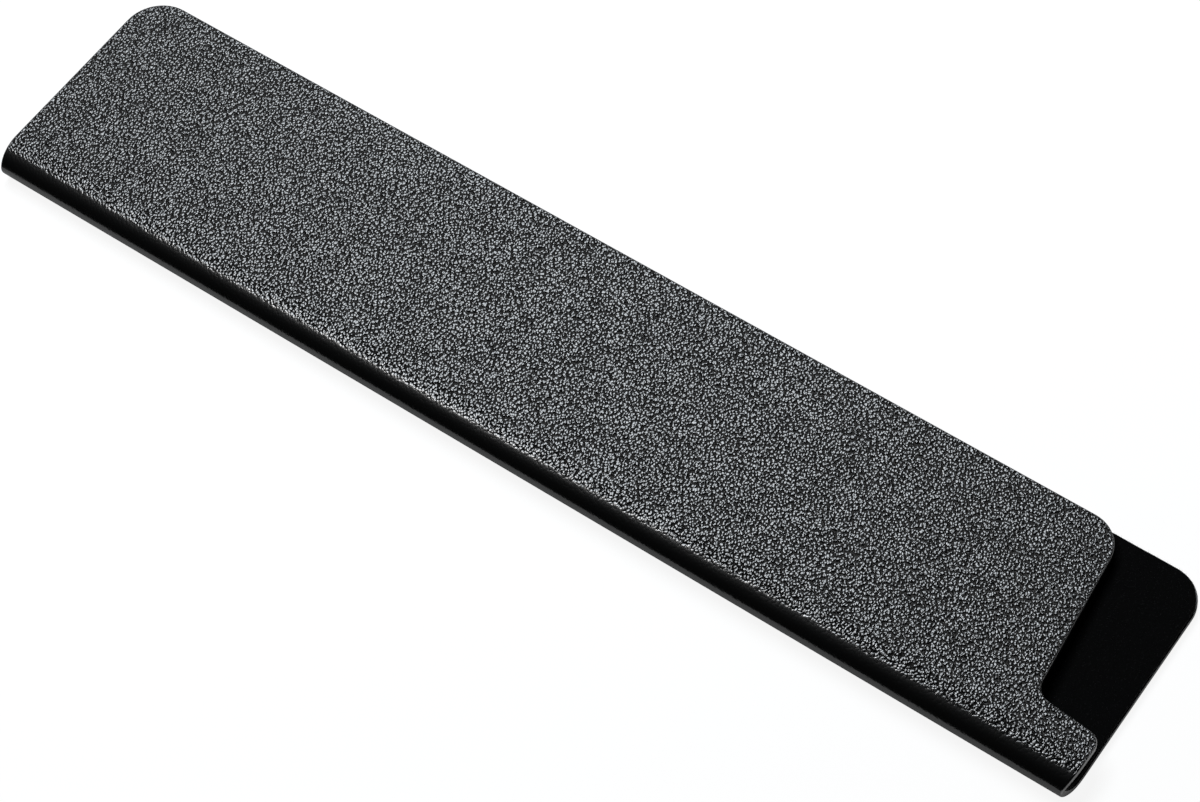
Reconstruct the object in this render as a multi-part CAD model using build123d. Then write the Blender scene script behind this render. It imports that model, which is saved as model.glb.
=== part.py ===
from build123d import *
import os

# A blade guard for a kitchen knife, lying on its back wall with the open mouth towards +Y.
# One stiff plastic sheet is folded in a tight U, so that its bend is a spring: the mouth spreads
# for the blade and pinches it again. Inside, a film of adhesive holds a felt lining to the sheet.
# The sheet and its two layers are each cut where the bend starts and ends, because the back wall
# lies still, the front wall turns with the mouth, and the bend between them flexes.
# Lengths are millimetres and angles are degrees. The origin is under the middle of the guard.

# Whole guard
guard_length = 220.0
guard_width = 44.2

# Layers of each wall, from the outside in
sheet_thickness = 1.2
film_thickness = 0.1
felt_thickness = 0.7
layer_stack = sheet_thickness + film_thickness + felt_thickness

# Clear space for the blade between the two felts
mouth_gap = 0.3
bend_gap = 2.0

# How far the bend runs into each wall, measured on the felt inside
back_bend_run = 1.8
front_bend_run = 3.8

# The sheet draws in a little along the outside of the bend, where it was stretched
bend_draw_in = 0.75

# Corners of the sheet at the mouth
tip_corner_radius = 7.2
heel_corner_radius = 6.3

# Notch in the front wall that clears the heel of the blade, and the lip left below it
notch_depth_at_mouth = 16.0
notch_depth_at_lip = 12.6
notch_corner_radius = 3.0
lip_width_at_notch = 11.8
lip_width_at_end = 10.6
lip_corner_radius = 2.4

# Cut edges
cut_edge_round = 0.35
felt_edge_margin = 0.3

# Spare length that cutting shapes run past the guard
overrun = 5.0

# Sizes worked out from the ones above
half_length = guard_length / 2
half_width = guard_width / 2
mouth_height = mouth_gap + 2 * layer_stack
bend_height = bend_gap + 2 * layer_stack
bend_middle = bend_height / 2
back_bend_depth = back_bend_run + layer_stack
front_bend_depth = front_bend_run + layer_stack

# Depth below the outside face at which each layer starts and ends
layers = {
    "wall": (0, sheet_thickness),
    "bond_film": (sheet_thickness, sheet_thickness + film_thickness),
    "felt": (sheet_thickness + film_thickness, layer_stack),
}


def front_height(distance):
    """Height of the front wall's outside face at a distance from the outside of the bend."""
    slope = (mouth_height - bend_height) / (guard_width - front_bend_depth)
    return bend_height + slope * (distance - front_bend_depth)


def run_along_guard(profile):
    """A profile across the guard, drawn as distance and height, run past both of its ends."""
    return extrude(Plane.YZ * profile, amount=half_length + overrun, both=True)


def back_layer(outside, inside):
    """One layer of the back wall, from the bend to past the mouth."""
    profile = make_face(Polyline(
        (back_bend_depth, outside),
        (guard_width + overrun, outside),
        (guard_width + overrun, inside),
        (back_bend_depth, inside),
        close=True,
    ))
    return run_along_guard(profile)


def front_layer(outside, inside):
    """One layer of the front wall, which leans down to the mouth."""
    past_mouth = guard_width + overrun
    profile = make_face(Polyline(
        (front_bend_depth, bend_height - outside),
        (past_mouth, front_height(past_mouth) - outside),
        (past_mouth, front_height(past_mouth) - inside),
        (front_bend_depth, bend_height - inside),
        close=True,
    ))
    return run_along_guard(profile)


def bend_line(depth):
    """Two quarter ellipses round the bend, from the back wall to the front wall."""
    back_quarter = EllipticalCenterArc(
        (back_bend_depth, bend_middle),
        back_bend_depth - depth,
        bend_middle - depth,
        start_angle=180,
        arc_size=90,
    )
    front_quarter = EllipticalCenterArc(
        (front_bend_depth, bend_middle),
        front_bend_depth - depth,
        bend_middle - depth,
        start_angle=90,
        arc_size=90,
    )
    return back_quarter + front_quarter


def bend_layer(outside, inside):
    """One layer of the bend, which meets the same layer of both walls face to face."""
    back_join = Line((back_bend_depth, outside), (back_bend_depth, inside))
    front_join = Line(
        (front_bend_depth, bend_height - outside),
        (front_bend_depth, bend_height - inside),
    )
    profile = make_face(bend_line(outside) + bend_line(inside) + back_join + front_join)
    return run_along_guard(profile)


def plan_face(heel_points, heel_radii):
    """Outline of one wall and the bend, seen from above, with the given heel end."""
    tip_end = -half_length
    sides = FilletPolyline(
        *heel_points,
        (tip_end, guard_width),
        (tip_end, front_bend_depth),
        radius=[*heel_radii, tip_corner_radius],
    )
    ends = []
    for end in (-half_length, half_length):
        inward = bend_draw_in if end < 0 else -bend_draw_in
        ends.append(TangentArc((end, front_bend_depth), (end + inward, 0), tangent=(0, -1)))
    below = Polyline(
        (half_length - bend_draw_in, 0),
        (half_length - bend_draw_in, -overrun),
        (-half_length + bend_draw_in, -overrun),
        (-half_length + bend_draw_in, 0),
    )
    return make_face(sides + ends[0] + ends[1] + below)


def back_plan():
    """The back wall runs the whole length, with both mouth corners rounded."""
    points = [(half_length, front_bend_depth), (half_length, guard_width)]
    return plan_face(points, [heel_corner_radius])


def front_plan():
    """The front wall stops short at the heel, where only a lip follows the bend to the end."""
    points = [
        (half_length, front_bend_depth),
        (half_length, lip_width_at_end),
        (half_length - notch_depth_at_lip, lip_width_at_notch),
        (half_length - notch_depth_at_mouth, guard_width),
    ]
    return plan_face(points, [lip_corner_radius, notch_corner_radius, heel_corner_radius])


def cut_to_plan(layer, plan, name):
    """Trim a layer to its outline. The felt and its film stop just short of the sheet's edge."""
    if name != "wall":
        plan = offset(plan, amount=-felt_edge_margin)
    tool = extrude(plan, amount=bend_height + overrun, both=True)
    return layer & tool


def round_outside_edges(wall, outward, join):
    """Round the cut edges of a wall's outside face, all but the one where it joins the bend."""
    face = wall.faces().filter_by(lambda f: f.normal_at().dot(outward) > abs(f.normal_at().Y))
    edges = face.sort_by(Axis.Z)[0 if outward.Z < 0 else -1].edges()
    cut_edges = edges.filter_by(lambda e: e.center().Y - join > cut_edge_round)
    return fillet(cut_edges, cut_edge_round)


def write(solid, node):
    """Save one node, moved so that the origin is under the middle of the guard."""
    export_step(Pos(0, -half_width, 0) * solid, f"parts/{node}.step")


os.makedirs("parts", exist_ok=True)
for name, (outside, inside) in layers.items():
    back = cut_to_plan(back_layer(outside, inside), back_plan(), name)
    bend = cut_to_plan(bend_layer(outside, inside), back_plan(), name)
    front = cut_to_plan(front_layer(outside, inside), front_plan(), name)
    if name == "wall":
        back = round_outside_edges(back, Vector(0, 0, -1), back_bend_depth)
        front = round_outside_edges(front, Vector(0, 0, 1), front_bend_depth)
    write(back, f"back_{name}")
    write(bend, "spine_bend" if name == "wall" else f"bend_{name}")
    write(front, f"front_{name}")
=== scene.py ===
# %% [markdown]
# # A blade guard for a kitchen knife
#
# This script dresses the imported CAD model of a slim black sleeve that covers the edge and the
# sides of a kitchen knife's blade. The real thing is one sheet of stiff plastic with a pebble
# grain on its outside. A film of glue and a black felt go on its inside, the outline is cut with
# one die, and the whole sandwich is folded in a tight U along its long side.
#
# The script makes it in the same order: cut each layer flat, fold it round the section of the
# bend, then give it its finish. Anything drawn on the flat sheet, such as the grain, then runs
# unbroken round the bend, as it does on the real one.

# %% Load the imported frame
import math

import bmesh
import bpy
from mathutils import Matrix, Vector


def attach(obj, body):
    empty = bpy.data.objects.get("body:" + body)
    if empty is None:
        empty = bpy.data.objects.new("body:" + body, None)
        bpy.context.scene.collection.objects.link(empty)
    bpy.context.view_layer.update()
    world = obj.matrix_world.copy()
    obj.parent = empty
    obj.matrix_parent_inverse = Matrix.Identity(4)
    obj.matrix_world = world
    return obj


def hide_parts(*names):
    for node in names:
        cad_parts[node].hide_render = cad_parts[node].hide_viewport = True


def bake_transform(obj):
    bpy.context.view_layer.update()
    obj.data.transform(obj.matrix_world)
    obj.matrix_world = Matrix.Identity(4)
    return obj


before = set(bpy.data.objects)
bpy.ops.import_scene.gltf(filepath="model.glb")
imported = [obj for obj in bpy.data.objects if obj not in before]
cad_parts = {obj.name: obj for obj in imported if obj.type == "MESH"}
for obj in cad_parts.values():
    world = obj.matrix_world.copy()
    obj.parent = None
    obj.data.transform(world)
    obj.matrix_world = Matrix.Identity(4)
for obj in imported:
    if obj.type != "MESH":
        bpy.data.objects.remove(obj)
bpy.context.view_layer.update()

# %% [markdown]
# ## Sizes
#
# The sizes are the ones the CAD source is built from, in metres here. The guard lies on its back
# wall with its open mouth towards +Y, and the fold runs along X. On the real object the length and
# width follow the blade it covers, and each wall is a stack: 1.2 mm of plastic, 0.1 mm of glue and
# 0.7 mm of felt.

# %% Sizes of the guard
MM = 0.001

guard_length = 220 * MM
guard_width = 44.2 * MM
half_length = guard_length / 2
half_width = guard_width / 2

sheet_thickness = 1.2 * MM
film_thickness = 0.1 * MM
felt_thickness = 0.7 * MM

mouth_height = 4.3 * MM
bend_height = 6.0 * MM
back_bend_depth = 3.8 * MM
front_bend_depth = 5.8 * MM
bend_draw_in = 0.75 * MM

tip_corner_radius = 7.2 * MM
heel_corner_radius = 6.3 * MM
notch_depth_at_mouth = 16.0 * MM
notch_depth_at_lip = 12.6 * MM
notch_corner_radius = 3.0 * MM
lip_width_at_notch = 11.8 * MM
lip_width_at_end = 10.6 * MM
lip_corner_radius = 2.4 * MM
cut_edge_round = 0.35 * MM
felt_edge_margin = 0.3 * MM

# %% [markdown]
# ## The section of the fold
#
# Seen from its end, the outside of the sheet runs flat along the back, turns through a quarter
# ellipse to the outermost line of the bend, and through a wider quarter ellipse onto the front,
# which leans down towards the mouth. A real sheet folded cold over felt takes such a lopsided bend,
# because the wall that lies flat in the press stays flat and the other does the bending.
#
# The section is kept as a line of points, so that a place on the flat sheet is a length along it.

# %% Outside of the fold, as a line of points
bend_steps = 40


def outside_section():
    """Points (y, z) on the outside of the sheet, from the back mouth round to the front one."""
    middle = bend_height / 2
    points = [(half_width, 0.0)]
    for step in range(bend_steps + 1):
        turn = math.pi / 2 * step / bend_steps
        out = back_bend_depth * (1 - math.sin(turn))
        points.append((out - half_width, middle * (1 - math.cos(turn))))
    for step in range(1, bend_steps + 1):
        turn = math.pi / 2 * step / bend_steps
        out = front_bend_depth * (1 - math.cos(turn))
        points.append((out - half_width, middle * (1 + math.sin(turn))))
    points.append((half_width, mouth_height))
    return points


section = outside_section()
section_run = [0.0]
for a, b in zip(section, section[1:]):
    section_run.append(section_run[-1] + math.dist(a, b))

bend_start = section_run[1]
bend_apex = section_run[1 + bend_steps]
bend_end = section_run[1 + 2 * bend_steps]
sheet_width = section_run[-1]
print("flat width of the sheet, mm:", round(sheet_width / MM, 2))
print("bend along it, mm:", [round(v / MM, 2) for v in (bend_start, bend_apex, bend_end)])


def out_from_bend(run):
    """How far a place on the flat sheet ends up from the outermost line of the bend, in plan."""
    for i in range(len(section) - 1):
        if run <= section_run[i + 1] or i == len(section) - 2:
            share = (run - section_run[i]) / (section_run[i + 1] - section_run[i])
            y = section[i][0] + share * (section[i + 1][0] - section[i][0])
            return y + half_width


def front_run(out):
    """The place on the flat sheet of a point of the front wall, given its distance in plan."""
    lean = math.hypot(1, (bend_height - mouth_height) / (guard_width - front_bend_depth))
    return bend_end + (out - front_bend_depth) * lean


# %% [markdown]
# ## The outline that the die cuts
#
# The blank is a long rectangle with rounded corners. The front half has the notch that clears the
# heel of the blade, and leaves a lip beside the fold. Where the sheet is stretched round the bend,
# its two ends pull in by three quarters of a millimetre, so the outline is drawn with that waist.

# %% Outline of the flat sheet
draw_in_radius = (front_bend_depth**2 + bend_draw_in**2) / (2 * bend_draw_in)


def end_of_sheet(run):
    """Half the length of the sheet at a place across it, with the waist at the bend."""
    left = max(0.0, front_bend_depth - out_from_bend(run))
    return half_length - draw_in_radius + math.sqrt(draw_in_radius**2 - left**2)


def rounded(before, corner, after, radius, steps=12):
    """Points of the arc that rounds one corner of an outline."""
    corner = Vector(corner)
    to_before = (Vector(before) - corner).normalized()
    to_after = (Vector(after) - corner).normalized()
    half_angle = to_before.angle(to_after) / 2
    middle = corner + (to_before + to_after).normalized() * radius / math.sin(half_angle)
    start = corner + to_before * radius / math.tan(half_angle) - middle
    end = corner + to_after * radius / math.tan(half_angle) - middle
    sweep = math.atan2(start.cross(end), start.dot(end))
    turns = [Matrix.Rotation(sweep * step / steps, 2) for step in range(steps + 1)]
    return [tuple(middle + turn @ start) for turn in turns]


def sheet_outline():
    """The cut sheet, laid flat: x along the guard, and the run across it from the back mouth."""
    waist_start = guard_width - front_bend_depth
    steps = 26
    runs = [waist_start + (bend_end - waist_start) * i / steps for i in range(steps + 1)]
    heel_waist = [(end_of_sheet(run), run) for run in runs]
    tip_waist = [(-x, run) for x, run in reversed(heel_waist)]

    back_tip = (-half_length, 0.0)
    back_heel = (half_length, 0.0)
    lip_end = (half_length, front_run(lip_width_at_end))
    notch = (half_length - notch_depth_at_lip, front_run(lip_width_at_notch))
    front_heel = (half_length - notch_depth_at_mouth, sheet_width)
    front_tip = (-half_length, sheet_width)

    outline = rounded(tip_waist[-1], back_tip, back_heel, tip_corner_radius)
    outline += rounded(back_tip, back_heel, heel_waist[0], heel_corner_radius)
    outline += heel_waist
    outline += rounded(heel_waist[-1], lip_end, notch, lip_corner_radius)
    outline += rounded(lip_end, notch, front_heel, notch_corner_radius)
    outline += rounded(notch, front_heel, front_tip, heel_corner_radius)
    outline += rounded(front_heel, front_tip, tip_waist[0], tip_corner_radius)
    outline += tip_waist
    return outline


outline = sheet_outline()
print("points round the outline:", len(outline))

# %% [markdown]
# ## Flat layers with a cut edge
#
# Each layer is made flat first, as a thin closed body: an outside face, an inside face and the cut
# edge between them. A die leaves the edge it enters slightly rolled over, so the edge is built from
# several rings that go round that small radius. Lines are then cut across the body, close together
# where it will bend, because only a vertex can bend.

# %% Flat layer from an outline
def moved_in(outline, distance):
    """An outline moved in by a distance along its own normals."""
    count = len(outline)
    moved = []
    for i, (x, y) in enumerate(outline):
        before = Vector((x, y)) - Vector(outline[i - 1])
        after = Vector(outline[(i + 1) % count]) - Vector((x, y))
        inward = before.normalized() + after.normalized()
        inward = Vector((-inward.y, inward.x)).normalized()
        cosine = max(0.5, inward.dot(Vector((-after.y, after.x)).normalized()))
        moved.append((x + inward.x * distance / cosine, y + inward.y * distance / cosine))
    return moved


def edge_profile(top, bottom, top_round, bottom_round, steps=6):
    """The cut edge as pairs of how far in and how deep, from the outside face to the inside."""
    flat_rim = 0.06 * MM
    profile = [(top_round + flat_rim, top)]
    for step in range(steps + 1):
        turn = math.pi / 2 * step / steps
        profile.append((top_round * (1 - math.sin(turn)), top + top_round * (1 - math.cos(turn))))
    for step in range(steps + 1):
        turn = math.pi / 2 * step / steps
        inset = bottom_round * (1 - math.cos(turn))
        profile.append((inset, bottom - bottom_round * (1 - math.sin(turn))))
    profile.append((bottom_round + flat_rim, bottom))
    return profile


def flat_layer(name, outline, profile, cuts_across, cuts_along):
    """A closed thin body on an outline, with lines cut across it and along it."""
    body = bmesh.new()
    rings = []
    for inset, depth in profile:
        places = moved_in(outline, inset)
        rings.append([body.verts.new((x, run, -depth)) for x, run in places])
    for upper, lower in zip(rings, rings[1:]):
        for i in range(len(outline)):
            j = (i + 1) % len(outline)
            body.faces.new((upper[i], lower[i], lower[j], upper[j]))
    body.faces.new(rings[0])
    body.faces.new(list(reversed(rings[-1])))
    planes = [((0, run, 0), (0, 1, 0)) for run in cuts_along]
    planes += [((x, 0, 0), (1, 0, 0)) for x in cuts_across]
    for place, normal in planes:
        everything = body.verts[:] + body.edges[:] + body.faces[:]
        bmesh.ops.bisect_plane(body, geom=everything, plane_co=place, plane_no=normal, dist=1e-7)
    bmesh.ops.recalc_face_normals(body, faces=body.faces[:])
    mesh = bpy.data.meshes.new(name)
    body.to_mesh(mesh)
    body.free()
    layer = bpy.data.objects.new(name, mesh)
    bpy.context.scene.collection.objects.link(layer)
    return layer


def spaced(start, end, step):
    """Evenly spaced places from start to end, about a step apart, without the two ends."""
    count = max(2, round((end - start) / step))
    return [start + (end - start) * i / count for i in range(1, count)]


# %% [markdown]
# ## Node trees in short
#
# Both the folding tool and the finishes are node trees. These helpers add one node and set or link
# its inputs in one call, so that a tree reads from top to bottom.

# %% Helpers for node trees
def add(tree, kind, inputs=None, **settings):
    """One node. Each input is set to a value, or linked if it is given another node's output."""
    node = tree.nodes.new(kind)
    for name, value in settings.items():
        setattr(node, name, value)
    for name, value in (inputs or {}).items():
        if isinstance(value, bpy.types.NodeSocket):
            tree.links.new(value, node.inputs[name])
        else:
            node.inputs[name].default_value = value
    return node


def sums(tree, operation, *values):
    """A Math node and its result."""
    kind = "ShaderNodeMath"
    return add(tree, kind, dict(enumerate(values)), operation=operation).outputs[0]


def vectors(tree, operation, *values):
    """A Vector Math node and its result."""
    kind = "ShaderNodeVectorMath"
    return add(tree, kind, dict(enumerate(values)), operation=operation).outputs[0]


def scaled(tree, vector, factor):
    """A vector times one number."""
    node = add(tree, "ShaderNodeVectorMath", {0: vector, "Scale": factor}, operation="SCALE")
    return node.outputs[0]


def dotted(tree, a, b):
    """The dot product of two vectors."""
    node = add(tree, "ShaderNodeVectorMath", {0: a, 1: b}, operation="DOT_PRODUCT")
    return node.outputs["Value"]


def noise(tree, place, scale, detail=2.0, plane=False):
    """A cloudy noise, in space or in the plane of the sheet. Its outputs are Fac and Color."""
    inputs = {"Vector": place, "Scale": scale, "Detail": detail}
    shape = "2D" if plane else "3D"
    return add(tree, "ShaderNodeTexNoise", inputs, noise_dimensions=shape).outputs


def mixed(tree, share, low, high):
    """A colour between two others."""
    inputs = {0: share, 6: (*low, 1), 7: (*high, 1)}
    return add(tree, "ShaderNodeMix", inputs, data_type="RGBA").outputs[2]


def ramp(tree, value, from_low, from_high, to_low, to_high, smooth=True):
    """A value taken from one range to another."""
    inputs = {0: value, 1: from_low, 2: from_high, 3: to_low, 4: to_high}
    blend = "SMOOTHSTEP" if smooth else "LINEAR"
    return add(tree, "ShaderNodeMapRange", inputs, interpolation_type=blend).outputs[0]


# %% [markdown]
# ## The folding tool
#
# One tool folds every layer, as one press does. It is a Geometry Nodes tree, because the same rule
# holds for each point of each layer, and only a few values differ from one layer to the next. A
# tool has named inputs, and it ends by giving the piece real geometry and its finish.

# %% Start and end of a Geometry Nodes tool
def new_tool(name, sockets, result):
    """An empty tree with named inputs and one way out, and the inputs as seen inside it."""
    tree = bpy.data.node_groups.new(name, "GeometryNodeTree")
    for label, kind in sockets:
        tree.interface.new_socket(label, in_out="INPUT", socket_type="NodeSocket" + kind)
    tree.interface.new_socket(result, in_out="OUTPUT", socket_type="NodeSocketGeometry")
    return tree, add(tree, "NodeGroupInput").outputs


def close_tool(tree, geometry, finish, result):
    """Makes the geometry real, gives it its finish and leads it out."""
    real = add(tree, "GeometryNodeRealizeInstances", {"Geometry": geometry}).outputs[0]
    done = add(tree, "GeometryNodeSetMaterial", {"Geometry": real, "Material": finish})
    add(tree, "NodeGroupOutput", {result: done.outputs[0]})


# %% [markdown]
# ## Marks on the flat layer
#
# Before it folds, the tool writes two things on the layer for the finishes to use: where each point
# lay on the flat sheet, in millimetres, and how much of the pebble grain it carries. The grain is
# rolled into the outside face only, so it fades out over the rolled edge. Where the sheet bends,
# the grain is first pulled longer and then pressed nearly flat.

# %% Marks for the finishes
grain_fades_from = 0.01 * MM
grain_fades_to = 0.16 * MM
pulled_grain = 0.75
pulled_from = 0.2 * MM
pulled_to = 2.0 * MM
flattened_grain = 0.09
flattened_from = 1.7 * MM
flattened_to = 3.1 * MM


def stored(tree, geometry, name, value, kind, domain):
    """Keeps a value on the mesh under a name."""
    inputs = {"Geometry": geometry, "Name": name, "Value": value}
    node = add(tree, "GeometryNodeStoreNamedAttribute", inputs, data_type=kind, domain=domain)
    return node.outputs[0]


def grain_kept(tree, height, run):
    """How much of the grain is left, from the height (0 outside, or less) and the run across."""
    rolled = ramp(tree, height, -grain_fades_to, -grain_fades_from, 0.0, 1.0)
    into_back = sums(tree, "SUBTRACT", run, bend_start)
    into_front = sums(tree, "SUBTRACT", bend_end, run)
    into_bend = sums(tree, "MINIMUM", into_back, into_front)
    pulled = ramp(tree, into_bend, pulled_from, pulled_to, 1.0, pulled_grain)
    flattened = ramp(tree, into_bend, flattened_from, flattened_to, 1.0, flattened_grain)
    return sums(tree, "MULTIPLY", rolled, sums(tree, "MULTIPLY", pulled, flattened))


print("grain left where the bend is flattest:", round(pulled_grain * flattened_grain, 3))

# %% [markdown]
# ## Where each point goes
#
# For each point the tool reads how far across the sheet it lies and finds the place that far along
# the line of the section. The point goes there, as deep inside the outside face as it was on the
# flat layer. Felt is also pushed about a little first, by a slow noise, as it is never of one
# thickness.

# %% Unevenness and folding
lumps_per_mm = 0.55


def uneven(tree, geometry, flat_mm, given):
    """Pushes the points of a layer about by a slow noise."""
    lumps = add(
        tree,
        "ShaderNodeTexNoise",
        {"Vector": flat_mm, "W": given["Seed"], "Scale": lumps_per_mm, "Detail": 3.0},
        noise_dimensions="4D",
    ).outputs["Color"]
    shift = vectors(tree, "SUBTRACT", lumps, (0.5, 0.5, 0.5))
    shift = scaled(tree, shift, given["Unevenness"])
    moved = {"Geometry": geometry, "Offset": shift}
    return add(tree, "GeometryNodeSetPosition", moved).outputs[0]


def folded_place(tree, section, flat):
    """The place on the folded section of a point of the flat layer."""
    drawn = add(tree, "GeometryNodeObjectInfo", {"Object": section}).outputs["Geometry"]
    line = add(tree, "GeometryNodeMeshToCurve", {"Mesh": drawn}).outputs[0]
    kind = "GeometryNodeSampleCurve"
    run = {"Curves": line, "Length": flat["Y"]}
    place = add(tree, kind, run, mode="LENGTH", use_all_curves=True).outputs
    inside = vectors(tree, "CROSS_PRODUCT", place["Tangent"], (1, 0, 0))
    inside = vectors(tree, "NORMALIZE", inside)
    inside = scaled(tree, inside, sums(tree, "MULTIPLY", flat["Z"], -1))
    along = add(tree, "ShaderNodeCombineXYZ", {"X": flat["X"]}).outputs[0]
    return vectors(tree, "ADD", vectors(tree, "ADD", along, place["Position"]), inside)


print("points along the section line:", len(section))

# %% [markdown]
# ## The whole tool
#
# The tool takes a flat layer, divides its faces if a soft layer needs it, marks it, folds it and
# shades it smooth. It runs as a modifier just long enough to give its result, which then becomes
# the piece's own mesh.

# %% Geometry Nodes tree that folds a flat layer
def folding_tool():
    """A tree that folds its Layer, with Section, Fineness, Unevenness, Seed and Finish to set."""
    sockets = [
        ("Layer", "Geometry"),
        ("Section", "Object"),
        ("Fineness", "Int"),
        ("Unevenness", "Float"),
        ("Seed", "Float"),
        ("Finish", "Material"),
    ]
    tree, given = new_tool("fold_a_layer", sockets, "Folded")
    finer = {"Mesh": given["Layer"], "Level": given["Fineness"]}
    layer = add(tree, "GeometryNodeSubdivideMesh", finer).outputs[0]
    place = add(tree, "GeometryNodeInputPosition").outputs[0]
    flat_mm = scaled(tree, place, 1000.0)
    flat = add(tree, "ShaderNodeSeparateXYZ", {0: place}).outputs

    layer = uneven(tree, layer, flat_mm, given)
    layer = stored(tree, layer, "flat_mm", flat_mm, "FLOAT2", "CORNER")
    grain = grain_kept(tree, flat["Z"], flat["Y"])
    layer = stored(tree, layer, "grain", grain, "FLOAT", "POINT")
    bent = {"Geometry": layer, "Position": folded_place(tree, given["Section"], flat)}
    layer = add(tree, "GeometryNodeSetPosition", bent).outputs[0]
    layer = add(tree, "GeometryNodeSetShadeSmooth", {"Geometry": layer}).outputs[0]
    close_tool(tree, layer, given["Finish"], "Folded")
    return tree


def run_tree(piece, tree, values):
    """Runs a tree on a piece with named inputs, and keeps the result as the piece's own mesh."""
    modifier = piece.modifiers.new(tree.name, "NODES")
    modifier.node_group = tree
    sockets = {s.name: s.identifier for s in tree.interface.items_tree if s.in_out == "INPUT"}
    for name, value in values.items():
        modifier[sockets[name]] = value
    bpy.context.view_layer.update()
    scene_now = bpy.context.evaluated_depsgraph_get()
    made = bpy.data.meshes.new_from_object(piece.evaluated_get(scene_now))
    piece.modifiers.clear()
    piece.data = made
    made.name = piece.name
    return piece


section_mesh = bpy.data.meshes.new("section_line")
section_mesh.from_pydata(
    [(0, y, z) for y, z in section],
    [(i, i + 1) for i in range(len(section) - 1)],
    [],
)
section_line = bpy.data.objects.new("section_line", section_mesh)
bpy.context.scene.collection.objects.link(section_line)
fold = folding_tool()
print("nodes in the folding tool:", len(fold.nodes))

# %% [markdown]
# ## Grained plastic
#
# The sheet is black polypropylene, and its grain comes from an engraved roller that presses the hot
# sheet. The grain is a field of rounded pebbles, a little longer than wide, with narrow valleys
# between them. The plastic itself hardly shows: almost all that the eye gets is the softbox,
# mirrored in the side of each pebble that leans towards it.
#
# Each pebble is a dome round a random point of a Voronoi pattern. The pattern is drawn on the flat
# sheet and pulled about by a slow noise, so that no two pebbles have the same shape, and a slower
# noise makes some patches a little deeper than others. The skin shines twice, once sharply and once
# as a wide satin haze over it. The relief is given in real depth, and the cut edges have none of it
# and are matt.

# %% Material of the plastic sheet
pebble_pitch_mm = 0.48
pebble_stretch = 1.22
pebble_turn = -0.61
pebble_depth = 0.345 * MM
pebble_lean = 0.15
pebble_disorder = 0.85
crown_power = 2.5
pebble_wander_mm = 0.5
wander_per_mm = 1.3
fine_relief = 0.03
fine_per_mm = 6.0
patches_per_mm = 0.21
shallow_patch = 0.88
deep_patch = 1.12
skin_black = (0.0012, 0.0013, 0.0014)
skin_index = 1.76
skin_roughness = 0.13
haze_weight = 0.76
haze_index = 1.5
haze_roughness = 0.28
cut_roughness = 0.42


def principled(name, color, roughness):
    """A new material with its Principled shader set plainly, its tree and its shader."""
    material = bpy.data.materials.new(name)
    material.use_nodes = True
    tree = material.node_tree
    shader = tree.nodes["Principled BSDF"]
    shader.inputs["Base Color"].default_value = (*color, 1)
    shader.inputs["Roughness"].default_value = roughness
    return material, tree, shader


def grained_plastic():
    """Black plastic with a pebble grain on its outside and matt cut edges."""
    material, tree, shader = principled("grained_plastic", skin_black, skin_roughness)
    shader.inputs["IOR"].default_value = skin_index
    shader.inputs["Coat Weight"].default_value = haze_weight
    shader.inputs["Coat IOR"].default_value = haze_index
    shader.inputs["Coat Roughness"].default_value = haze_roughness
    place = add(tree, "ShaderNodeUVMap", uv_map="flat_mm").outputs[0]
    wander = noise(tree, place, wander_per_mm, plane=True)["Color"]
    reach = pebble_wander_mm
    wander = vectors(tree, "MULTIPLY_ADD", wander, (reach, reach, 0), (-reach / 2, -reach / 2, 0))
    pulled = vectors(tree, "ADD", place, wander)
    turned = {"Vector": pulled, "Angle": pebble_turn}
    pulled = add(tree, "ShaderNodeVectorRotate", turned, rotation_type="Z_AXIS").outputs[0]
    across = 1 / pebble_pitch_mm
    pulled = vectors(tree, "MULTIPLY", pulled, (across, across / pebble_stretch, 0))
    pattern = {"Vector": pulled, "Scale": 1.0, "Randomness": pebble_disorder}
    kind = "ShaderNodeTexVoronoi"
    cell = add(tree, kind, pattern, voronoi_dimensions="2D", feature="F1").outputs
    crown = sums(tree, "POWER", cell["Distance"], crown_power)
    crown = sums(tree, "MULTIPLY", crown, -1.0)
    off_centre = vectors(tree, "SUBTRACT", pulled, cell["Position"])
    lean = vectors(tree, "SUBTRACT", cell["Color"], (0.5, 0.5, 0.5))
    lean = dotted(tree, lean, off_centre)
    relief = sums(tree, "MULTIPLY_ADD", lean, pebble_lean, crown)
    fine = noise(tree, place, fine_per_mm, plane=True)["Fac"]
    relief = sums(tree, "MULTIPLY_ADD", fine, fine_relief, relief)
    grain = add(tree, "ShaderNodeAttribute", attribute_name="grain").outputs["Fac"]
    gloss = ramp(tree, grain, 0.01, 0.05, cut_roughness, skin_roughness)
    tree.links.new(gloss, shader.inputs["Roughness"])
    patches = noise(tree, place, patches_per_mm, plane=True)["Fac"]
    patches = ramp(tree, patches, 0.3, 0.7, shallow_patch, deep_patch)
    grain = sums(tree, "MULTIPLY", grain, patches)
    rolled = {"Height": relief, "Strength": grain, "Distance": pebble_depth}
    bump = add(tree, "ShaderNodeBump", rolled)
    tree.links.new(bump.outputs[0], shader.inputs["Normal"])
    tree.links.new(bump.outputs[0], shader.inputs["Coat Normal"])
    return material


plastic = grained_plastic()
print("finish made:", plastic.name)
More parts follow.
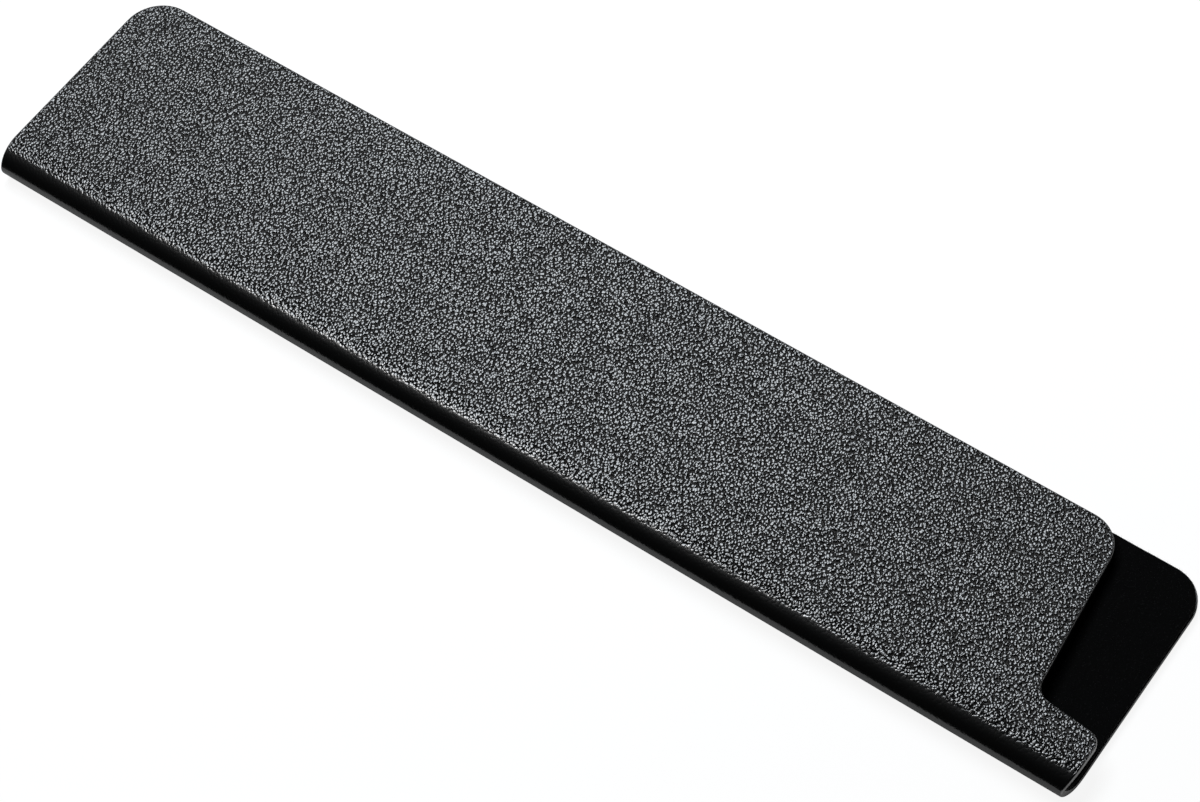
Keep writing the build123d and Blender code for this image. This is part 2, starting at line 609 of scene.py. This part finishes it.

# %% [markdown]
# ## The folded sheet
#
# One piece of plastic makes both walls and the bend, so it is one mesh here. It replaces the three
# rigid CAD nodes that stand for it.

# %% Cut and fold the plastic sheet
beside_bend = 2.1 * MM
bend_step = 0.3 * MM
wall_step = 5 * MM
inner_edge_round = 0.1 * MM

bend_cuts = spaced(bend_start - beside_bend, bend_end + beside_bend, bend_step)
wall_cuts = spaced(0, bend_start - beside_bend, wall_step)
wall_cuts += spaced(bend_end + beside_bend, sheet_width, wall_step)
sheet = flat_layer(
    "folded_sheet",
    outline,
    edge_profile(0.0, sheet_thickness, cut_edge_round, inner_edge_round),
    spaced(-half_length, half_length, wall_step),
    wall_cuts + bend_cuts,
)
run_tree(
    sheet,
    fold,
    {"Section": section_line, "Fineness": 0, "Unevenness": 0.0, "Seed": 0.0, "Finish": plastic},
)
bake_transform(sheet)
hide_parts("back_wall", "spine_bend", "front_wall")
print("folded sheet faces:", len(sheet.data.polygons))

# %% [markdown]
# ## The glue film
#
# The felt comes with a glue film on its back. It is one tenth of a millimetre thick and stops a
# little inside the cut edge, so all that shows of it is a thin line between plastic and felt.

# %% Film of glue
glue_brown = (0.012, 0.0105, 0.008)
glue_relief = 0.02 * MM
glue_streaks_per_metre = 700.0


def glue():
    """A thin dark film of pressure-sensitive glue."""
    material, tree, shader = principled("glue_film", glue_brown, 0.35)
    place = add(tree, "ShaderNodeTexCoord").outputs["Object"]
    streaks = noise(tree, place, glue_streaks_per_metre)["Fac"]
    bump = add(tree, "ShaderNodeBump", {"Height": streaks, "Distance": glue_relief})
    tree.links.new(bump.outputs[0], shader.inputs["Normal"])
    return material


film_top = sheet_thickness
film_bottom = sheet_thickness + film_thickness
felt_bottom = film_bottom + felt_thickness
lining_outline = moved_in(outline, felt_edge_margin)
film = flat_layer(
    "glue_film",
    lining_outline,
    edge_profile(film_top, film_bottom, 0.02 * MM, 0.02 * MM, steps=1),
    spaced(-half_length, half_length, 2 * wall_step),
    bend_cuts,
)
run_tree(
    film,
    fold,
    {"Section": section_line, "Fineness": 0, "Unevenness": 0.0, "Seed": 0.0, "Finish": glue()},
)
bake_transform(film)
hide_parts("back_bond_film", "bend_bond_film", "front_bond_film")
print("glue film faces:", len(film.data.polygons))

# %% [markdown]
# ## The felt lining
#
# The lining is a thin black needle felt, which keeps the steel from being scratched. Its fibres lie
# matted in every direction, so it has no shine. The finish is two noises, a fine one for the tangle
# of the fibres and a coarser one for their clumps, both in depth and the fine one in colour too.

# %% Felt material
felt_plain = (0.002, 0.002, 0.0021)
felt_dark = (0.0003, 0.0003, 0.0003)
felt_pale = (0.0022, 0.0022, 0.0024)
felt_relief = 0.12 * MM
tangle_per_metre = 2600.0
clumps_per_metre = 420.0


def felt():
    """Black needle felt: matted fibres, almost no shine."""
    material, tree, shader = principled("black_felt", felt_plain, 0.95)
    shader.inputs["Specular IOR Level"].default_value = 0.1
    shader.inputs["Sheen Weight"].default_value = 0.008
    shader.inputs["Sheen Roughness"].default_value = 0.6
    place = add(tree, "ShaderNodeTexCoord").outputs["Object"]
    matted = {"Detail": 4.0, "Roughness": 0.7, "Distortion": 1.2}
    matted.update({"Vector": place, "Scale": tangle_per_metre})
    tangle = add(tree, "ShaderNodeTexNoise", matted).outputs["Fac"]
    clumps = noise(tree, place, clumps_per_metre)["Fac"]
    relief = sums(tree, "MULTIPLY_ADD", clumps, 0.8, tangle)
    bump = add(tree, "ShaderNodeBump", {"Height": relief, "Distance": felt_relief})
    tree.links.new(bump.outputs[0], shader.inputs["Normal"])
    shade = mixed(tree, ramp(tree, tangle, 0.35, 0.75, 0.0, 1.0), felt_dark, felt_pale)
    tree.links.new(shade, shader.inputs["Base Color"])
    return material


black_felt = felt()
print("finish made:", black_felt.name)

# %% [markdown]
# ## The two pieces of the lining
#
# The lining is one sheet on the real object too. Here it is cut where the front wall starts,
# because its two walls nearly touch at the mouth and each has to move with its own wall when the
# mouth spreads. The cut is deep inside the fold, where the two pieces meet face to face. The same folding
# tool takes both, with a little unevenness, because felt is never of one thickness.

# %% Cut and fold the felt
felt_step_along = 2.2 * MM
felt_step_across = 1.4 * MM
felt_unevenness = 0.12 * MM
past_every_edge = 1.0


def part_of(outline, start, end):
    """The part of a flat outline that lies between two runs across the sheet."""
    kept = []
    count = len(outline)
    for i in range(count):
        a, b = outline[i], outline[(i + 1) % count]
        if start <= a[1] <= end:
            kept.append(a)
        for limit in (start, end):
            if (a[1] - limit) * (b[1] - limit) < 0:
                share = (limit - a[1]) / (b[1] - a[1])
                kept.append((a[0] + share * (b[0] - a[0]), limit))
    return kept


def felt_piece(name, start, end, seed):
    """One piece of the lining, folded, with a soft uneven face."""
    piece = flat_layer(
        name,
        part_of(lining_outline, start, end),
        edge_profile(film_bottom, felt_bottom, 0.05 * MM, 0.22 * MM, steps=3),
        spaced(-half_length, half_length, felt_step_along),
        spaced(start, end, felt_step_across),
    )
    return run_tree(
        piece,
        fold,
        {
            "Section": section_line,
            "Fineness": 1,
            "Unevenness": felt_unevenness,
            "Seed": seed,
            "Finish": black_felt,
        },
    )


back_lining = felt_piece("back_felt_lining", -past_every_edge, bend_end, 3.0)
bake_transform(back_lining)
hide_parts("back_felt", "bend_felt")
front_lining = felt_piece("front_felt_lining", bend_end, past_every_edge, 7.0)
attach(front_lining, "front_half")
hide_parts("front_felt")

bpy.data.objects.remove(section_line)

# %% [markdown]
# ## Loose fibres of the felt
#
# A cut felt is never clean. Short fibres stand out along its cut edges and lie loose on the part
# that the notch lays bare. They are thin three-sided arcs scattered over those faces by Geometry
# Nodes, and they are pieces of their own, which ride on the wall that their felt is glued to.

# %% Loose felt fibres
bare_from_x = half_length - notch_depth_at_mouth - 1 * MM
bare_from_y = -half_width + lip_width_at_notch - 1 * MM
fibres_per_area = 5.0e6
edge_crowd = 2.5
fibre_thickness = 0.022 * MM
fibre_reach = 0.5 * MM
fibre_root = 0.03 * MM
fibre_bow = 0.06 * MM
fibre_lean = 0.9
whole_turn = 6.283
shortest_fibre = 0.35
fibre_patches_per_metre = 900.0
fibre_plain = (0.006, 0.006, 0.0064)
fibre_dark = (0.002, 0.002, 0.0022)
fibre_pale = (0.012, 0.012, 0.013)
facing_up = 0.6


def fibre_material():
    """Single black fibres, a little lighter than the felt that they come from."""
    material, tree, shader = principled("felt_fibre", fibre_plain, 0.6)
    place = add(tree, "ShaderNodeTexCoord").outputs["Object"]
    patches = noise(tree, place, fibre_patches_per_metre)["Fac"]
    shade = mixed(tree, patches, fibre_dark, fibre_pale)
    tree.links.new(shade, shader.inputs["Base Color"])
    return material


fibres = fibre_material()
print("finish made:", fibres.name)

# %% [markdown]
# ## Where the fibres grow
#
# A face of the felt carries fibres if it is part of the cut edge, past the bend, or if it faces up
# where the notch lays it bare. The cut edge carries them more closely.

# %% Faces that carry fibres
def above(tree, value, limit):
    """One where the value is over the limit, or else zero."""
    return sums(tree, "GREATER_THAN", value, limit)


def where_fuzzy(tree, bare):
    """Which faces of a felt carry fibres, and how many for their area."""
    place = add(tree, "GeometryNodeInputPosition").outputs[0]
    at = add(tree, "ShaderNodeSeparateXYZ", {0: place}).outputs
    normal = add(tree, "GeometryNodeInputNormal").outputs[0]
    way = add(tree, "ShaderNodeSeparateXYZ", {0: normal}).outputs
    level = above(tree, sums(tree, "ABSOLUTE", way["Z"]), facing_up)
    cut_edge = sums(tree, "SUBTRACT", 1.0, level)
    past_bend = above(tree, at["Y"], -half_width + front_bend_depth + 1 * MM)
    cut_edge = sums(tree, "MULTIPLY", cut_edge, past_bend)
    past_x = above(tree, at["X"], bare_from_x)
    past_y = above(tree, at["Y"], bare_from_y)
    in_notch = sums(tree, "MULTIPLY", past_x, past_y)
    laid_bare = sums(tree, "MULTIPLY", in_notch, above(tree, way["Z"], facing_up))
    laid_bare = sums(tree, "MULTIPLY", laid_bare, bare)
    fuzzy = sums(tree, "MAXIMUM", cut_edge, laid_bare)
    crowd = sums(tree, "MULTIPLY_ADD", cut_edge, edge_crowd - 1, 1.0)
    return fuzzy, sums(tree, "MULTIPLY", crowd, fibres_per_area)


print("notch laid bare from x, y, mm:", round(bare_from_x / MM, 1), round(bare_from_y / MM, 1))

# %% [markdown]
# ## One fibre, and many
#
# A fibre is one bowed arc, swept with a three-sided section because it is thinner than a hair. The
# tool sows roots on the fuzzy faces and sets a fibre on each, turned by chance and of its own
# length.

# %% Geometry Nodes tree that sows fibres
def one_fibre(tree):
    """A thin three-sided arc that starts a little inside the felt."""
    bowed = {
        "Resolution": 3,
        "Start": (0, 0, -fibre_root),
        "Middle": (0, fibre_bow, 0.6 * fibre_reach),
        "End": (0, 0.75 * fibre_reach, 0.45 * fibre_reach),
    }
    arc = add(tree, "GeometryNodeCurveQuadraticBezier", bowed).outputs[0]
    three_sided = {"Resolution": 3, "Radius": fibre_thickness / 2}
    ring = add(tree, "GeometryNodeCurvePrimitiveCircle", three_sided).outputs["Curve"]
    swept = {"Curve": arc, "Profile Curve": ring, "Fill Caps": True}
    return add(tree, "GeometryNodeCurveToMesh", swept).outputs[0]


def fuzz_tool():
    """A tree that sows fibres on a felt, with Felt, Bare, Seed and Finish to set."""
    sockets = [
        ("Start", "Geometry"),
        ("Felt", "Object"),
        ("Bare", "Float"),
        ("Seed", "Int"),
        ("Finish", "Material"),
    ]
    tree, given = new_tool("felt_fuzz", sockets, "Fuzz")
    lining = add(tree, "GeometryNodeObjectInfo", {"Object": given["Felt"]}).outputs["Geometry"]
    fuzzy, crowd = where_fuzzy(tree, given["Bare"])
    sown = {"Mesh": lining, "Selection": fuzzy, "Density": crowd, "Seed": given["Seed"]}
    roots = add(tree, "GeometryNodeDistributePointsOnFaces", sown).outputs

    chance = "FunctionNodeRandomValue"
    least, most = (-fibre_lean, -fibre_lean, 0.0), (fibre_lean, fibre_lean, whole_turn)
    turns = {0: least, 1: most, "Seed": given["Seed"]}
    turn = add(tree, chance, turns, data_type="FLOAT_VECTOR").outputs[0]
    lengths = {2: shortest_fibre, 3: 1.0, "Seed": given["Seed"]}
    length = add(tree, chance, lengths, data_type="FLOAT").outputs[1]
    lean = {"Rotation": roots["Rotation"], "Rotate By": turn}
    kind = "FunctionNodeRotateRotation"
    leaning = add(tree, kind, lean, rotation_space="LOCAL").outputs[0]

    spread = {"Points": roots["Points"], "Instance": one_fibre(tree)}
    spread.update({"Rotation": leaning, "Scale": length})
    fuzz = add(tree, "GeometryNodeInstanceOnPoints", spread).outputs[0]
    close_tool(tree, fuzz, given["Finish"], "Fuzz")
    return tree


def fuzz_on(name, felt_object, bare, seed, body):
    """The loose fibres of one piece of felt, riding on its wall."""
    fuzz = bpy.data.objects.new(name, bpy.data.meshes.new(name))
    bpy.context.scene.collection.objects.link(fuzz)
    values = {"Felt": felt_object, "Bare": bare, "Seed": seed, "Finish": fibres}
    run_tree(fuzz, fuzz_nodes, values)
    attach(fuzz, body)
    print(name, "faces:", len(fuzz.data.polygons))


fuzz_nodes = fuzz_tool()
fuzz_on("back_felt_fuzz", back_lining, 1.0, 11, "back_half")
fuzz_on("front_felt_fuzz", front_lining, 0.0, 12, "front_half")

# %% [markdown]
# ## The table
#
# The guard lies on a white table. The table's own colour carries the white of the picture, and the
# lamps only light the guard. The white that the guard mirrors has painted shade in it: where the
# guard stands close over the table the glow is darkened, a painted shadow that its rims mirror as
# dark. In front of the bend the guard mirrors a third of that white, also painted shade, and beyond
# the heel end, where nothing stands over the table, all of it.

# %% Table
white_level = 0.9
# Painted shade: the guard mirrors only this share of the white glow in front of the bend.
mirrored_share = 0.33
mirrored_beyond_heel_share = 1.0
# Painted shadow: how far and how strongly the mirrored glow darkens near the guard.
contact_reach = 30 * MM
contact_power = 2.5
paper_grey = (0.17, 0.17, 0.17, 1)
table_half = 6.0
table_drop = 0.02 * MM


def white_table():
    """A pale table top that shows white, and still takes the guard's shadow."""
    material = bpy.data.materials.new("white_table")
    material.use_nodes = True
    tree = material.node_tree
    tree.nodes.clear()
    ray = add(tree, "ShaderNodeLightPath").outputs
    # Painted shadow and shade: the glow that glossy rays see is darkened by occlusion near the guard, and
    # cut by place in front of the bend.
    open_sky = add(tree, "ShaderNodeAmbientOcclusion", {"Distance": contact_reach}, samples=6)
    painted_shade = sums(tree, "POWER", open_sky.outputs["AO"], contact_power)
    place = add(tree, "ShaderNodeTexCoord").outputs["Object"]
    along = add(tree, "ShaderNodeSeparateXYZ", {0: place}).outputs["X"]
    shares = (mirrored_share, mirrored_beyond_heel_share)
    share = ramp(tree, along, half_length - MM, half_length + 2 * MM, *shares)
    painted_shade = sums(tree, "MULTIPLY", painted_shade, share)
    mirrored = sums(tree, "MULTIPLY", ray["Is Glossy Ray"], painted_shade)
    seen = sums(tree, "ADD", ray["Is Camera Ray"], mirrored)
    seen = sums(tree, "ADD", seen, ray["Is Transmission Ray"])
    seen = sums(tree, "MINIMUM", seen, 1.0)
    glow = sums(tree, "MULTIPLY", seen, white_level)
    emission = add(tree, "ShaderNodeEmission", {"Color": (1, 1, 1, 1), "Strength": glow})
    paper = add(tree, "ShaderNodeBsdfDiffuse", {"Color": paper_grey})
    both = add(tree, "ShaderNodeAddShader", {0: emission.outputs[0], 1: paper.outputs[0]})
    add(tree, "ShaderNodeOutputMaterial", {"Surface": both.outputs[0]})
    return material


table_mesh = bpy.data.meshes.new("table_top")
corners = [(-1, -1), (1, -1), (1, 1), (-1, 1)]
table_mesh.from_pydata(
    [(x * table_half, y * table_half, -table_drop) for x, y in corners], [], [(0, 1, 2, 3)]
)
table_mesh.materials.append(white_table())
table_top = bpy.data.objects.new("table_top", table_mesh)
bpy.context.scene.collection.objects.link(table_top)
print("table, m:", 2 * table_half)

# %% [markdown]
# ## The lamps and the room
#
# One large oval softbox hangs level behind the tip end, just where the flat of the front wall
# mirrors it to the camera. A small one beside it brightens the middle. The room is dark, with dim
# walls low down, and a doorway before the bend that leaves the smooth part of the bend black.

# %% Softbox and room
softbox_place = (-0.268, 0.262, 0.600)
softbox_size = (0.440, 0.560)
softbox_watts = 4.2
softbox_tint = (0.89, 0.95, 1.0)
small_box_place = (-0.275, -0.025, 0.595)
small_box_size = (0.150, 0.150)
small_box_watts = 0.60
small_box_tint = (1.0, 0.99, 0.98)
wall_level = 0.12
ceiling_level = 0.008
walls_fade_between = (0.15, 0.50)
doorway_way = (-0.37, -0.93, 0.0)
doorway_opens_between = (0.50, 0.85)


def overhead_light(name, place, size, watts, tint):
    """A flat light that hangs level over the table and shines straight down."""
    light = bpy.data.lights.new(name, "AREA")
    light.shape = "ELLIPSE"
    light.size = size[0]
    light.size_y = size[1]
    light.energy = watts
    light.color = tint
    lamp = bpy.data.objects.new(name, light)
    bpy.context.scene.collection.objects.link(lamp)
    lamp.location = place
    lamp.visible_camera = False
    return lamp


overhead_light("softbox", softbox_place, softbox_size, softbox_watts, softbox_tint)
overhead_light(
    "softbox_middle", small_box_place, small_box_size, small_box_watts, small_box_tint
)
print("lamps, W:", softbox_watts, small_box_watts)


def dim_room():
    """A dark room with dim walls low around the table, and a doorway left dark before the bend."""
    room = bpy.data.worlds.new("dim_room")
    room.use_nodes = True
    tree = room.node_tree
    way = add(tree, "ShaderNodeTexCoord").outputs["Generated"]
    height = add(tree, "ShaderNodeSeparateXYZ", {0: way}).outputs["Z"]
    level_way = vectors(tree, "NORMALIZE", vectors(tree, "MULTIPLY", way, (1, 1, 0)))
    door = dotted(tree, level_way, doorway_way)
    wall = ramp(tree, height, *walls_fade_between, wall_level, ceiling_level)
    doorway = ramp(tree, door, *doorway_opens_between, 0.0, 1.0)
    wall = ramp(tree, doorway, 0.0, 1.0, wall, ceiling_level, smooth=False)
    looked_at = add(tree, "ShaderNodeLightPath").outputs["Is Camera Ray"]
    level = ramp(tree, looked_at, 0.0, 1.0, wall, white_level, smooth=False)
    tree.links.new(level, tree.nodes["Background"].inputs["Strength"])
    tree.nodes["Background"].inputs["Color"].default_value = (1, 1, 1, 1)
    bpy.context.scene.world = room


dim_room()

# %% [markdown]
# ## The camera
#
# The camera looks down from beyond the heel end, with a long lens, so that the guard runs across
# the picture from corner to corner. Its three directions come from a solve on the guard's own outline.

# %% Camera
camera_place = (0.21057, -0.20674, 0.48535)
camera_lens_mm = 101.24

camera_data = bpy.data.cameras.new("camera")
camera_data.sensor_width = 36.0
camera_data.lens = camera_lens_mm
camera_data.clip_start = 0.01
camera_data.clip_end = 50
camera = bpy.data.objects.new("camera", camera_data)
bpy.context.scene.collection.objects.link(camera)
right = Vector((0.80895, 0.58022, -0.09458))
up = Vector((-0.46435, 0.72931, 0.50248))
back = Vector((0.36052, -0.36256, 0.85940))
turned = Matrix((right, up, back)).transposed().to_4x4()
camera.matrix_world = Matrix.Translation(camera_place) @ turned
bpy.context.scene.camera = camera
bpy.context.scene.view_settings.view_transform = "Standard"
print("camera above the table, m:", round(camera.matrix_world.translation.z, 3))
